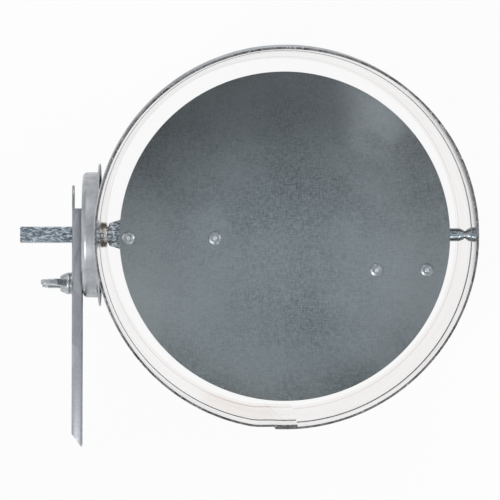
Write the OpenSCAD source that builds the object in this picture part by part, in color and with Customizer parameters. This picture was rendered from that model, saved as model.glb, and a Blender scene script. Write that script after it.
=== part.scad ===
// Round air damper: a round sleeve for a duct, with a blade on a square bar, a stand-off pan, a lever
// and a wing nut. Millimetres. The sleeve stands on its end, with the duct along Z and the bar along X.

/* [Sleeve] */
// Outside diameter of the sleeve
sleeve_d = 228.6; // [180:0.1:400]
// Length of the sleeve along the duct
sleeve_len = 228.6; // [215:0.1:500]
// Thickness of the sleeve's sheet
sheet_t = 1.3; // [0.7:0.1:2]
// Distance from each rim to the middle of its bead
bead_inset = 44; // [15:0.5:55]
// Width of a bead
bead_w = 9; // [6:0.1:14]
// Height of a bead above the wall
bead_h = 2.4; // [1:0.1:4]
// Width of the lap at the seam
lap_w = 12.7; // [8:0.1:25]

/* [Blade] */
// Gap between the edge of the blade and the wall
blade_gap = 10; // [6:0.1:15]
// Thickness of the blade
blade_t = 1; // [0.6:0.1:2]
// Angle that the blade stands open by
stand_angle = 6; // [0:0.5:15]
// Distance of the blade's centre from the middle of the bar's axis, along the bar
blade_shift_x = 0.5; // [0:0.1:1.5]
// Distance of the blade's centre from the bar's axis, across the bar
blade_shift_y = 1; // [0:0.1:2]

/* [Square bar] */
// Width across the flats of the square bar
bar_w = 9.525; // [7:0.1:11]
// Radius along the corners of the bar
bar_corner = 0.8; // [0.4:0.1:1.5]
// Length of bar that stands out of the sleeve
bar_out = 50; // [40:0.5:90]
// Thickness of the strip that the bar is folded from
strip_t = 1.4; // [1:0.1:1.8]
// Width of the flattened tail
tail_w = 18; // [14:0.1:24]
// Length of the tail under the blade
tail_len = 65; // [50:0.5:75]
// Distance from the blade's edge to the first tail rivet
tail_rivet_in = 5.5; // [5:0.1:12]
// Distance between the two tail rivets
tail_rivet_step = 54; // [30:0.5:56]
// Distance of the tail rivets from the middle of the tail
tail_rivet_side = 2.6; // [0:0.1:4]

/* [Bar bushing] */
// Play between the corners of the bar and the bore of the bushing
bar_play = 0.07; // [0.03:0.01:0.09]
// Thickness of the wall of the bushing
bush_wall = 0.8; // [0.6:0.1:2]
// Width of the bushing's inner collar beyond its barrel
bush_in_lip = 0.6; // [0.4:0.1:3]
// Length of the bushing's inner collar
bush_in_len = 2.6; // [1.5:0.1:4]
// Width of the bushing's outer collar beyond its barrel
bush_out_lip = 2.4; // [1:0.1:4]
// Thickness of the bushing's outer collar
bush_out_t = 1.4; // [0.8:0.1:2.5]

/* [Spring bearing] */
// Diameter of the pin's body inside the barrel
pin_d = 6.3; // [5.6:0.1:7]
// Diameter of the pin's tip, which enters the wall
pin_tip_d = 4.8; // [3.5:0.1:5.2]
// Play around the pin
pin_play = 0.05; // [0.02:0.01:0.09]
// Thickness of the barrel's wall
barrel_wall = 0.9; // [0.6:0.1:1.5]
// Length of the barrel
barrel_len = 50; // [44:0.5:60]
// Gap between the end of the barrel and the wall of the sleeve
barrel_gap = 0.8; // [0.4:0.1:1.5]
// Length of the narrowed end of the barrel
nose_len = 2.7; // [1.5:0.1:5]
// Thickness of the barrel's wall at the narrowed end
nose_wall = 0.7; // [0.4:0.1:1]
// Length of pin that stands out of the sleeve
pin_out = 3.7; // [2:0.1:5]
// Travel of the pin into the barrel
pin_travel = 6; // [5.5:0.1:7]
// Length of the pin inside the sleeve
pin_in = 27; // [22:0.5:30]
// Width of the slot in the barrel
slot_w = 1.8; // [1:0.1:2.5]
// Diameter of the spring's wire
wire_d = 0.7; // [0.5:0.1:1]
// Number of turns of the spring
spring_turns = 9; // [6:1:12]
// Thickness of the plate beside the barrel
plate_t = 1.2; // [0.8:0.1:2]
// Length of the plate along the bar's axis
plate_len = 47; // [42:0.5:55]
// Distance from the bar's axis to the far edge of the plate
plate_reach = 29; // [26:0.1:36]
// Distance from the bar's axis to the plate rivets
plate_rivet_side = 22.6; // [16:0.1:23]
// Distance between the two plate rivets
plate_rivet_step = 31.3; // [20:0.1:34]

/* [Rivets] */
// Diameter of the head of a blade rivet
rivet_head_d = 8.4; // [7:0.1:9.5]
// Height of the head of a blade rivet
rivet_head_h = 1.2; // [0.8:0.1:1.6]
// Diameter of the shank of a blade rivet
rivet_d = 4.6; // [3.8:0.1:5]
// Diameter of the stem left in a blade rivet
stem_d = 2.8; // [2:0.1:3]
// Diameter of the head of a pan rivet
pan_rivet_head_d = 6.4; // [5.5:0.1:7.5]
// Diameter of the shank of a pan rivet
pan_rivet_d = 3.2; // [2.8:0.1:4]
// Diameter of the stem left in a pan rivet
pan_stem_d = 1.8; // [1.2:0.1:2]

/* [Stand-off pan] */
// Outside diameter of the pan's side
pan_d = 78.2; // [74:0.1:90]
// Width of the pan's flange
flange_w = 5.35; // [4.5:0.05:12]
// Distance that the pan stands off the sleeve
pan_h = 10.9; // [10:0.1:20]
// Thickness of the pan's sheet
pan_t = 1; // [0.7:0.1:1.6]
// Outside radius around the face of the pan
pan_fillet = 3; // [2:0.1:4]
// Clear width around the corners of the bar in the pan's face
pan_hole_gap = 1; // [0.6:0.1:3]
// Distance from the flange's edge to the rivet in each ear
ear_reach = 2; // [1.5:0.1:5]
// Width of each ear
ear_w = 13; // [10:0.1:20]

/* [Lever] */
// Length of the lever beyond the bar's axis, on the long side
lever_long = 132; // [110:0.5:160]
// Length of the lever beyond the bar's axis, on the short side
lever_short = 31; // [26:0.5:40]
// Length of the folded sides beyond the bar's axis, on the short side
side_short = 15.6; // [12:0.1:18]
// Width of the lever
lever_w = 20; // [18.4:0.1:26]
// Height of the lever's folded sides, from the outer face
lever_h = 6.3; // [5:0.1:9]
// Thickness of the lever's sheet
lever_t = 1.2; // [0.8:0.1:1.6]
// Gap between the lever's sides and the face of the pan
lever_gap = 0.4; // [0.25:0.05:1]
// Outside radius of the lever's folds
lever_bend = 2; // [1.7:0.1:3]
// Length of the sloped end of the lever
tip_len = 7.6; // [4:0.1:12]
// Play between the bar and the square hole in the lever
lever_play = 0.1; // [0.05:0.01:0.3]

/* [Clamp] */
// Distance from the bolt's axis to the pan's side
bolt_in = 8.7; // [8.1:0.1:10]
// Diameter of the bolt
bolt_d = 6.35; // [5:0.05:7]
// Diameter of the bolt's head
bolt_head_d = 12.2; // [10:0.1:12.6]
// Height of the bolt's head
bolt_head_h = 3; // [2:0.1:4]
// Gap between the bolt's head and the face of the pan
bolt_head_gap = 0.3; // [0.2:0.05:0.6]
// Length of bolt beyond the lever
bolt_out = 15.6; // [11:0.1:22]
// Gap on each side of the bolt's square neck in the curved slot
slot_gap = 0.45; // [0.3:0.05:0.8]
// Diameter of the washer
washer_d = 14; // [12:0.1:16]
// Thickness of the washer
washer_t = 1; // [0.6:0.1:2]
// Play around the bolt in the wing nut
nut_play = 0.05; // [0.02:0.01:0.09]
// Diameter of the wing nut's foot
nut_d = 13.8; // [12:0.1:16]
// Height of the wing nut's hub
nut_h = 6.3; // [5:0.1:9]
// Height of the wing nut over its wings
wing_h = 18; // [15:0.1:22]
// Distance from the bolt's axis to the tip of a wing
wing_reach = 14.8; // [13:0.1:18]
// Thickness of a wing
wing_t = 4.2; // [3:0.1:5.5]

/* [Hidden] */
$fn = 96;

// Small clearance between a shank and its hole
hole_play = 0.05;
// Clearance between a stem and its rivet
stem_play = 0.02;

// Sleeve
sleeve_or = sleeve_d / 2;
sleeve_ir = sleeve_or - sheet_t;
axis_z = sleeve_len / 2;
bead_ro = (bead_w * bead_w / 4 + bead_h * bead_h) / (2 * bead_h);
bead_c = sleeve_or + bead_h - bead_ro;

// Blade, measured from the bar's axis
blade_r = sleeve_ir - blade_gap;
barrel_r = pin_d / 2 + pin_play + barrel_wall;
barrel_blade_gap = 0.05;
blade_z = max(barrel_r + barrel_blade_gap, 2 * strip_t);
blade_top = blade_z + blade_t;

// Bushing, measured from the duct's axis towards the lever
bar_corner_r = bar_w / sqrt(2) - bar_corner * (sqrt(2) - 1);
bush_bore_r = bar_corner_r + bar_play;
bush_r = bush_bore_r + bush_wall;
bush_in_r = bush_r + bush_in_lip;
bush_out_r = bush_r + bush_out_lip;
wall_sag = sleeve_ir - sqrt(sleeve_ir * sleeve_ir - bush_in_r * bush_in_r);
bush_in_x = sleeve_ir - wall_sag;
bush_end_x = bush_in_x - bush_in_len;

// Bar
bar_end_x = sleeve_or + bar_out;
tail_edge_x = blade_r - blade_shift_x;
flare_x = bush_end_x - 0.3;
tail_end_x = tail_edge_x - tail_len;
tail_low = blade_z - 2 * strip_t;
bar_bore = bar_w - 2 * strip_t;
bar_bore_end_x = bush_end_x + 2;
tail_rivet_x = [tail_edge_x - tail_rivet_in, tail_edge_x - tail_rivet_in - tail_rivet_step];

// Spring bearing, measured from the duct's axis away from the lever
pin_r = pin_d / 2;
pin_bore_r = pin_r + pin_play;
tip_r = pin_tip_d / 2;
tip_bore_r = tip_r + pin_play;
barrel_end_x = sleeve_ir - barrel_gap;
barrel_start_x = barrel_end_x - barrel_len;
barrel_floor = 2;
nose_x = barrel_end_x - nose_len;
stop_gap = 0.05;
pin_end_x = sleeve_or + pin_out;
pin_start_x = sleeve_ir - pin_in;
spring_start_x = barrel_start_x + barrel_floor + 0.05;
spring_end_x = pin_start_x - 0.05;
plate_edge_x = blade_r + blade_shift_x - 6;
plate_start_x = plate_edge_x - plate_len;
plate_rivet_x = [plate_edge_x - 8.4, plate_edge_x - 8.4 - plate_rivet_step];

// Rivets
rivet_bulb_r = rivet_d / 2 + 0.8;
rivet_bulb_h = 2.4;
tail_grip = blade_t + 2 * strip_t;
plate_grip = blade_t + plate_t;
pan_rivet_head_h = 0.9;
pan_bulb_r = pan_rivet_d / 2 + 0.6;
pan_bulb_h = 1.8;
pan_grip = pan_t + sleeve_or - sqrt(sleeve_ir * sleeve_ir - pan_bulb_r * pan_bulb_r) + 0.002;

// Pan, measured from the duct's axis towards the lever
pan_r = pan_d / 2;
pan_face_x = sleeve_or + pan_h;
flange_d = pan_d + 2 * flange_w;
ear_r = flange_d / 2 + ear_reach;
pan_hole_r = bar_corner_r + pan_hole_gap;

// Lever
lever_in_x = pan_face_x + lever_gap;
lever_out_x = lever_in_x + lever_h;
web_in_x = lever_out_x - lever_t;

// Clamp
bolt_radius = pan_r - bolt_in;
bolt_r = bolt_d / 2;
neck_w = bolt_d;
slot_r = neck_w / 2 + slot_gap;
slot_over = 4.5;
head_x = pan_face_x - pan_t - bolt_head_gap;
neck_end_x = pan_face_x + 2.2;
bolt_end_x = lever_out_x + bolt_out;
washer_x = lever_out_x;
nut_gap = 0.15;
nut_x = washer_x + washer_t + nut_gap;

// Places what turns with the bar: its axis is X at half the sleeve's length
module turned() {
    translate([0, 0, axis_z]) rotate([-stand_angle, 0, 0]) children();
}

// Turns local Z towards the lever's side, with local X up
module to_lever() {
    rotate([0, -90, 0]) children();
}

// Turns local Z away from the lever's side
module to_pin() {
    rotate([0, 90, 0]) children();
}

// Half section of the sleeve's wall with its two beads
module wall_section() {
    difference() {
        union() {
            translate([sleeve_ir, 0]) square([sheet_t, sleeve_len]);
            for (z = [bead_inset, sleeve_len - bead_inset]) {
                intersection() {
                    translate([bead_c, z]) circle(bead_ro);
                    translate([sleeve_ir, z - bead_w]) square([2 * bead_w, 2 * bead_w]);
                }
            }
        }
        for (z = [bead_inset, sleeve_len - bead_inset]) {
            translate([bead_c, z]) circle(bead_ro - sheet_t);
        }
    }
}

module sleeve() {
    color("#b9bcbf")
    difference() {
        union() {
            rotate_extrude($fn = 180) wall_section();
            // the inner layer of the lap
            intersection() {
                rotate_extrude($fn = 180) translate([-sheet_t, 0]) wall_section();
                translate([-lap_w / 2, -sleeve_or - bead_w, 0]) cube([lap_w, sleeve_or, sleeve_len]);
            }
        }
        translate([0, 0, axis_z]) to_lever() cylinder(r = bush_r, h = sleeve_or + 10);
        translate([0, 0, axis_z]) to_pin() cylinder(r = tip_bore_r, h = sleeve_or + 10);
        for (side = [-1, 1]) {
            translate([0, 0, axis_z + side * ear_r])
                to_lever() cylinder(r = pan_rivet_d / 2 + hole_play, h = sleeve_or + 10);
        }
    }
}

module blade() {
    color("#7c868b") turned()
    difference() {
        translate([blade_shift_x, -blade_shift_y, blade_z]) cylinder(r = blade_r, h = blade_t, $fn = 180);
        for (x = tail_rivet_x) {
            translate([-x, -tail_rivet_side, 0]) cylinder(r = rivet_d / 2 + hole_play, h = blade_top + 1);
        }
        for (x = plate_rivet_x) {
            translate([x, -plate_rivet_side, 0]) cylinder(r = rivet_d / 2 + hole_play, h = blade_top + 1);
        }
    }
}

// A square with rounded corners
module round_square(w, r) {
    union() {
        square([w, w - 2 * r], center = true);
        square([w - 2 * r, w], center = true);
        for (x = [-1, 1]) for (y = [-1, 1]) {
            translate([x * (w / 2 - r), y * (w / 2 - r)]) circle(r, $fn = 32);
        }
    }
}

module square_bar() {
    color("#80888e") turned()
    difference() {
        union() {
            // the square length
            translate([-flare_x, 0, 0]) to_lever() linear_extrude(bar_end_x - flare_x) round_square(bar_w, bar_corner);
            // where the folded strip opens out and is pressed flat
            intersection() {
                rotate([90, 0, 0]) linear_extrude(2 * tail_w, center = true)
                    polygon([[-flare_x, -bar_w / 2], [-flare_x, bar_w / 2], [-flare_x + 2.2, bar_w / 2],
                             [-flare_x + 4.6, blade_z], [-tail_edge_x + 2, blade_z],
                             [-tail_edge_x + 2, tail_low], [-flare_x + 5, tail_low]]);
                translate([0, 0, -bar_w]) linear_extrude(2 * bar_w)
                    polygon([[-flare_x, -bar_w / 2], [-flare_x, bar_w / 2],
                             [-flare_x + 0.8, bar_w / 2 + 2], [-tail_edge_x, tail_w / 2],
                             [-tail_edge_x + 2, tail_w / 2], [-tail_edge_x + 2, -tail_w / 2],
                             [-tail_edge_x, -tail_w / 2], [-flare_x + 0.8, -bar_w / 2 - 2]]);
            }
            // the flat tail
            translate([0, 0, tail_low]) linear_extrude(2 * strip_t)
                polygon([[-tail_edge_x, -tail_w / 2], [-tail_edge_x, tail_w / 2],
                         [-tail_end_x - 3, tail_w / 2], [-tail_end_x, tail_w / 2 - 3],
                         [-tail_end_x, 3 - tail_w / 2], [-tail_end_x - 3, -tail_w / 2]]);
        }
        translate([-bar_bore_end_x, 0, 0]) to_lever()
            linear_extrude(bar_end_x) round_square(bar_bore, bar_corner / 2);
        for (x = tail_rivet_x) {
            translate([-x, -tail_rivet_side, 0]) cylinder(r = rivet_d / 2 + hole_play, h = blade_top + 1);
        }
    }
}

module bar_bushing() {
    color("#c9c6bb") translate([0, 0, axis_z]) to_lever()
    rotate_extrude()
    difference() {
        union() {
            translate([0, bush_end_x]) square([bush_r, sleeve_or + bush_out_t - bush_end_x]);
            translate([0, bush_end_x + 0.8]) square([bush_in_r, bush_in_len - 0.8]);
            translate([0, bush_end_x]) square([bush_in_r - 0.8, bush_in_len]);
            translate([bush_in_r - 0.8, bush_end_x + 0.8]) circle(0.8, $fn = 32);
            translate([0, sleeve_or]) square([bush_out_r, bush_out_t]);
        }
        translate([-1, 0]) square([bush_bore_r + 1, 2 * sleeve_or]);
    }
}

module spring_housing() {
    color("#aeb9bf") turned()
    difference() {
        union() {
            translate([barrel_start_x, 0, 0]) to_pin() {
                cylinder(r = barrel_r, h = barrel_len - nose_len);
                translate([0, 0, barrel_len - nose_len])
                    cylinder(r1 = barrel_r, r2 = tip_bore_r + nose_wall, h = nose_len);
            }
            translate([plate_start_x, -plate_reach, blade_z - plate_t])
                linear_extrude(plate_t) union() {
                    translate([3, 0]) square([plate_len - 6, plate_reach]);
                    translate([0, 3]) square([plate_len, plate_reach - 3]);
                    for (x = [3, plate_len - 3]) translate([x, 3]) circle(3, $fn = 48);
                }
        }
        translate([barrel_start_x + barrel_floor, 0, 0]) to_pin()
            cylinder(r = pin_bore_r, h = barrel_len - barrel_floor - nose_len);
        translate([barrel_start_x + barrel_floor, 0, 0]) to_pin() cylinder(r = tip_bore_r, h = barrel_len);
        // the slot that shows the pin, and takes the tip of a tool
        translate([0, 0, pin_r - 1.2]) linear_extrude(barrel_r) union() {
            translate([nose_x - 13, -slot_w / 2]) square([13 - 0.3 - slot_w / 2, slot_w]);
            translate([nose_x - 0.3 - slot_w / 2, 0]) circle(slot_w / 2, $fn = 32);
        }
        for (x = plate_rivet_x) {
            translate([x, -plate_rivet_side, 0]) cylinder(r = rivet_d / 2 + hole_play, h = blade_top + 1);
        }
    }
}

module pivot_pin() {
    color("#c2c8cc") turned() to_pin()
    rotate_extrude()
    difference() {
        union() {
            translate([0, pin_start_x]) square([pin_r, nose_x - stop_gap - pin_start_x]);
            translate([0, pin_start_x]) square([tip_r, pin_end_x - pin_start_x - 0.8]);
            translate([0, pin_end_x - 0.8]) square([tip_r - 0.8, 0.8]);
            intersection() {
                translate([tip_r - 0.8, pin_end_x - 0.8]) circle(0.8, $fn = 32);
                translate([0, pin_start_x]) square([pin_r, pin_end_x]);
            }
        }
        // the groove under the slot
        translate([pin_r - 0.6, nose_x - 4.4]) square([2, 2.6]);
    }
}

// Points and rings of the spring, along local Z
spring_len = spring_end_x - spring_start_x;
coil_r = pin_r - wire_d / 2 - 0.15;
ring_n = 14;
rings = ring_n * spring_turns;
function climb(i) = wire_d / 2 + (spring_len - wire_d) * min(1, max(0, (i / rings - 0.08) / 0.84));
function ring_point(i, k) =
    let (a = 360 * i / ring_n, b = 360 * k / 8, q = coil_r + wire_d / 2 * cos(b))
    [q * cos(a), q * sin(a), climb(i) + wire_d / 2 * sin(b)];

module pin_spring() {
    color("#9aa0a4") turned() translate([spring_start_x, 0, 0]) to_pin()
    polyhedron(
        points = [for (i = [0 : rings]) for (k = [0 : 7]) ring_point(i, k)],
        faces = concat(
            [for (i = [0 : rings - 1]) for (k = [0 : 7])
                [8 * i + k, 8 * i + (k + 1) % 8, 8 * (i + 1) + (k + 1) % 8, 8 * (i + 1) + k]],
            [[7, 6, 5, 4, 3, 2, 1, 0]],
            [[for (k = [0 : 7]) 8 * rings + k]]),
        convexity = 6);
}

// Blind rivet with its head on the plane z = 0 and its bulb below the grip
module rivet(head_r, head_h, shank_r, grip, bulb_r, bulb_h, hole_r) {
    cap_r = (head_r * head_r + head_h * head_h) / (2 * head_h);
    rotate_extrude()
    difference() {
        union() {
            intersection() {
                translate([0, head_h - cap_r]) circle(cap_r, $fn = 180);
                square([head_r, head_h]);
            }
            translate([0, -grip - bulb_h]) square([shank_r, grip + bulb_h]);
            translate([0, -grip - bulb_h]) square([bulb_r, bulb_h]);
        }
        translate([-1, -grip - bulb_h - 1]) square([hole_r + 1, grip + bulb_h + head_h + 2]);
        translate([0, head_h - 0.55]) square([hole_r + 0.75, 1]);
    }
}

// The stem left inside a blind rivet
module stem(stem_r, head_h, grip, bulb_h) {
    rotate_extrude() union() {
        translate([0, -grip - bulb_h - 0.8]) square([stem_r, grip + bulb_h + 0.8 + head_h - 0.2]);
        translate([0, -grip - bulb_h - 1.3]) square([stem_r + 0.5, 1.28]);
    }
}

module tail_rivet(n) {
    color("#c7ccd0") turned() translate([-tail_rivet_x[n], -tail_rivet_side, blade_top])
        rivet(rivet_head_d / 2, rivet_head_h, rivet_d / 2, tail_grip, rivet_bulb_r, rivet_bulb_h, stem_d / 2);
}

module plate_rivet(n) {
    color("#c7ccd0") turned() translate([plate_rivet_x[n], -plate_rivet_side, blade_top])
        rivet(rivet_head_d / 2, rivet_head_h, rivet_d / 2, plate_grip, rivet_bulb_r, rivet_bulb_h, stem_d / 2);
}

module tail_stem(n) {
    color("#e4e8ea") turned() translate([-tail_rivet_x[n], -tail_rivet_side, blade_top])
        stem(stem_d / 2 - stem_play, rivet_head_h, tail_grip, rivet_bulb_h);
}

module plate_stem(n) {
    color("#e4e8ea") turned() translate([plate_rivet_x[n], -plate_rivet_side, blade_top])
        stem(stem_d / 2 - stem_play, rivet_head_h, plate_grip, rivet_bulb_h);
}

module pan_rivet(side) {
    color("#c7ccd0") translate([-(sleeve_or + pan_t), 0, axis_z + side * ear_r]) to_lever()
        rivet(pan_rivet_head_d / 2, pan_rivet_head_h, pan_rivet_d / 2, pan_grip, pan_bulb_r, pan_bulb_h,
              pan_stem_d / 2);
}

module pan_stem(side) {
    color("#e4e8ea") translate([-(sleeve_or + pan_t), 0, axis_z + side * ear_r]) to_lever()
        stem(pan_stem_d / 2 - stem_play, pan_rivet_head_h, pan_grip, pan_bulb_h);
}

// Half section of a filled cup of radius r and height h with a rounded rim f
module cup_section(r, h, f) {
    square([r - f, h]);
    square([r, h - f]);
    translate([r - f, h - f]) circle(f, $fn = 64);
}

// A direction in the pan's plane: 0 is where the closed lever points, 90 where the open one does
function lever_dir(a, r) = [r * sin(a), -r * cos(a)];

// The curved slot that the bolt travels in
module curved_slot() {
    from = -slot_over;
    to = 90 + slot_over;
    intersection() {
        difference() {
            circle(bolt_radius + slot_r, $fn = 180);
            circle(bolt_radius - slot_r, $fn = 180);
        }
        polygon([[0, 0], lever_dir(from, 2 * pan_r), lever_dir((from + to) / 2, 3 * pan_r),
                 lever_dir(to, 2 * pan_r)]);
    }
    for (a = [from, to]) translate(lever_dir(a, bolt_radius)) circle(slot_r, $fn = 48);
}

module dial_pan() {
    color("#a7aaae") translate([0, 0, axis_z]) to_lever()
    difference() {
        union() {
            translate([0, 0, sleeve_or]) rotate_extrude($fn = 180) difference() {
                union() {
                    cup_section(pan_r, pan_h, pan_fillet);
                    square([flange_d / 2, pan_t]);
                    difference() {
                        translate([pan_r - 0.1, pan_t - 0.1]) square([1.3, 1.3]);
                        translate([pan_r + 1.2, pan_t + 1.2]) circle(1.2, $fn = 48);
                    }
                }
                translate([0, -1]) cup_section(pan_r - pan_t, pan_h - pan_t + 1, pan_fillet - pan_t);
            }
            // the two ears on the line where the flange meets the sleeve
            for (side = [-1, 1]) translate([0, 0, sleeve_or]) linear_extrude(pan_t) difference() {
                union() {
                    translate([side * ear_r, 0]) circle(ear_w / 2, $fn = 64);
                    translate([side > 0 ? pan_r : -ear_r, -ear_w / 2]) square([ear_r - pan_r, ear_w]);
                }
                circle(pan_r - pan_t / 2);
            }
        }
        cylinder(r = pan_hole_r, h = 2 * sleeve_or);
        translate([0, 0, pan_face_x - pan_t - 1]) linear_extrude(pan_t + 3) curved_slot();
        for (side = [-1, 1]) {
            translate([side * ear_r, 0, 0]) cylinder(r = pan_rivet_d / 2 + hole_play, h = sleeve_or + pan_t + 1);
        }
    }
}

// Section across the folded lever, with its outer face at the top: outer width w, height h, fold radius f
module fold_section(w, h, f) {
    translate([-w / 2, 0]) square([w, h - f]);
    translate([-w / 2 + f, 0]) square([w - 2 * f, h]);
    for (x = [-1, 1]) translate([x * (w / 2 - f), h - f]) circle(f, $fn = 48);
}

// The lever's body as a filled shape: width w, from the folded sides' edge up to height h,
// from y0 on the short side down to the sloped end
module lever_fill(w, h, f, low, y0, y_end, slope) {
    intersection() {
        translate([0, y0, 0]) rotate([90, 0, 0]) linear_extrude(y0 + y_end)
            translate([0, low]) fold_section(w, h - low, f);
        rotate([90, 0, 90]) linear_extrude(2 * w, center = true)
            polygon([[y0, low], [y0, h], [-y_end + slope, h], [-y_end, low + 0.8], [-y_end + 0.6, low]]);
    }
}

module lever() {
    color("#b0b3b6") turned() to_lever() translate([0, 0, lever_in_x])
    difference() {
        union() {
            difference() {
                lever_fill(lever_w, lever_h, lever_bend, 0, side_short, lever_long, tip_len);
                lever_fill(lever_w - 2 * lever_t, lever_h - lever_t, lever_bend - lever_t, -1,
                           side_short + 1, lever_long - lever_t, tip_len + 0.6);
            }
            // the flat end beyond the folded sides
            translate([0, 0, lever_h - lever_t]) linear_extrude(lever_t) union() {
                translate([-lever_w / 2 + lever_bend, side_short - 0.5])
                    square([lever_w - 2 * lever_bend, lever_bend + 0.5]);
                translate([-lever_w / 2 + lever_bend, side_short])
                    square([lever_w - 2 * lever_bend, lever_short - side_short - (lever_w / 2 - lever_bend)]);
                translate([0, lever_short - (lever_w / 2 - lever_bend)])
                    circle(lever_w / 2 - lever_bend, $fn = 96);
            }
        }
        // square hole for the bar and round hole for the bolt
        linear_extrude(2 * lever_h) round_square(bar_w + 2 * lever_play, bar_corner);
        translate([0, -bolt_radius, 0]) cylinder(r = bolt_r + 0.15, h = 2 * lever_h);
    }
}

module clamp_bolt() {
    head_r = bolt_head_d / 2;
    cap_r = (head_r * head_r + bolt_head_h * bolt_head_h) / (2 * bolt_head_h);
    color("#b9bec2") turned() to_lever() translate([0, -bolt_radius, 0])
    union() {
        translate([0, 0, head_x]) rotate([180, 0, 0]) rotate_extrude() intersection() {
            translate([0, bolt_head_h - cap_r]) circle(cap_r, $fn = 120);
            square([head_r, bolt_head_h]);
        }
        translate([-neck_w / 2, -neck_w / 2, head_x - 0.01]) cube([neck_w, neck_w, neck_end_x - head_x]);
        translate([0, 0, head_x]) cylinder(r = bolt_r, h = bolt_end_x - head_x - 0.8);
        translate([0, 0, bolt_end_x - 0.81]) cylinder(r1 = bolt_r, r2 = bolt_r - 0.8, h = 0.81);
    }
}

module bolt_washer() {
    color("#c4c8cb") turned() to_lever() translate([0, -bolt_radius, washer_x])
    difference() {
        cylinder(r = washer_d / 2, h = washer_t);
        translate([0, 0, -1]) cylinder(r = bolt_r + 0.15, h = washer_t + 2);
    }
}

// Outline of one wing beside the hub, in the plane of the bolt's axis
module wing_outline() {
    tip = 3.4;
    union() {
        translate([wing_reach - tip, wing_h - tip]) circle(tip, $fn = 48);
        polygon([[2, 1.6], [nut_d / 2 - 0.9, 1.6], [nut_d / 2 + 1.2, 3.6], [wing_reach - 2.6, 7.2],
                 [wing_reach - 0.6, wing_h - 7], [wing_reach, wing_h - tip],
                 [wing_reach - tip, wing_h], [wing_reach - 6.2, wing_h - 1.2],
                 [wing_reach - 8.4, wing_h - 4.6], [wing_reach - 9.8, nut_h + 1.4], [2, nut_h - 0.6]]);
    }
}

module wing_nut() {
    color("#bcc0c3") turned() to_lever() translate([0, -bolt_radius, nut_x])
    difference() {
        union() {
            rotate_extrude() polygon([[0, 0], [nut_d / 2 - 0.5, 0], [nut_d / 2, 0.5], [nut_d / 2 - 0.2, 2.4],
                                      [nut_d / 2 - 1.4, nut_h - 0.9], [nut_d / 2 - 2.2, nut_h], [0, nut_h]]);
            for (m = [0, 1]) mirror([m, 0, 0])
                rotate([90, 0, 0]) linear_extrude(wing_t, center = true) wing_outline();
        }
        translate([0, 0, -1]) cylinder(r = bolt_r + nut_play, h = wing_h + 2);
    }
}

sleeve();
blade();
square_bar();
bar_bushing();
spring_housing();
pivot_pin();
pin_spring();
tail_rivet(0);  // tail_rivet_a
tail_rivet(1);  // tail_rivet_b
plate_rivet(0);  // plate_rivet_a
plate_rivet(1);  // plate_rivet_b
tail_stem(0);  // tail_stem_a
tail_stem(1);  // tail_stem_b
plate_stem(0);  // plate_stem_a
plate_stem(1);  // plate_stem_b
dial_pan();
pan_rivet(1);  // pan_rivet_a
pan_rivet(-1);  // pan_rivet_b
pan_stem(1);  // pan_stem_a
pan_stem(-1);  // pan_stem_b
lever();
clamp_bolt();
bolt_washer();
wing_nut();
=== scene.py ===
import math
import random

import bmesh
import bpy
from mathutils import Matrix, Vector, noise


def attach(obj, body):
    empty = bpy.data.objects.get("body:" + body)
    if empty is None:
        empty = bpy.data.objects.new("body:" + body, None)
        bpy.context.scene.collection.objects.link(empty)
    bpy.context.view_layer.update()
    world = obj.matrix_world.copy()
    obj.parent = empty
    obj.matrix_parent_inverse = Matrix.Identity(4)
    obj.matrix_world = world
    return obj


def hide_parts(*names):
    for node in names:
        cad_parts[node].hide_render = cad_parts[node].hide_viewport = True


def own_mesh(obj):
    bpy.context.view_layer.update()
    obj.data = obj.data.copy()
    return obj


# A round air damper, in metres. The duct runs along Z, the square bar along X with its lever
# at -X, and the pieces that turn with the bar are drawn level and then tipped by STAND.
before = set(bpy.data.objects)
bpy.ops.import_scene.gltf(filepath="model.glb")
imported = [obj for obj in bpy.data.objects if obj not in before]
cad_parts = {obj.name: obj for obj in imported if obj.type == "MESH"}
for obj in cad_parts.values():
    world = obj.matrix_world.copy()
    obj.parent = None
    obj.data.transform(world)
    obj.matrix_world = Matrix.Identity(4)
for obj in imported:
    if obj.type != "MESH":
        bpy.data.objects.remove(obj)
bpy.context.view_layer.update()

MM = 0.001
TURN = 2 * math.pi

# Sleeve
SLEEVE_OR = 114.3 * MM
SHEET_T = 1.3 * MM
SLEEVE_IR = SLEEVE_OR - SHEET_T
SLEEVE_LEN = 228.6 * MM
AXIS_Z = SLEEVE_LEN / 2
BEAD_INSET = 44 * MM
BEAD_W = 9 * MM
BEAD_H = 2.4 * MM
LAP = 13.2 * MM
FLARE = 0.3 * MM
BUSH_HOLE_R = 7.27 * MM
PIN_HOLE_R = 2.55 * MM
PAN_RIVET_Z = 46.45 * MM

# Blade and what it carries
STAND = math.radians(6)
BLADE_R = 103 * MM
BLADE_T = 1 * MM
BLADE_Z = 4.15 * MM
BLADE_X = 0.5 * MM
BLADE_Y = -1 * MM
BLADE_TOP = BLADE_Z + BLADE_T
BAR_W = 9.525 * MM
BAR_END = -164.3 * MM
FLARE_X = -109.8 * MM
TAIL_EDGE = -102.5 * MM
TAIL_END = -37.5 * MM
TAIL_LOW = 1.35 * MM
TAIL_HALF = 9 * MM
STRIP_T = 1.4 * MM

# Spring bearing
BARREL_R = 4.1 * MM
BARREL_START = 62.2 * MM
BARREL_END = 112.2 * MM
NOSE_LEN = 2.7 * MM
PIN_R = 3.15 * MM
PIN_TIP_R = 2.4 * MM
PIN_START = 86 * MM
PIN_END = 118 * MM
PIN_STEP = 109.45 * MM
PLATE_START = 50.5 * MM
PLATE_LEN = 47 * MM
PLATE_REACH = 29 * MM
PLATE_T = 1.2 * MM
SLOT_W = 1.8 * MM

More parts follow.
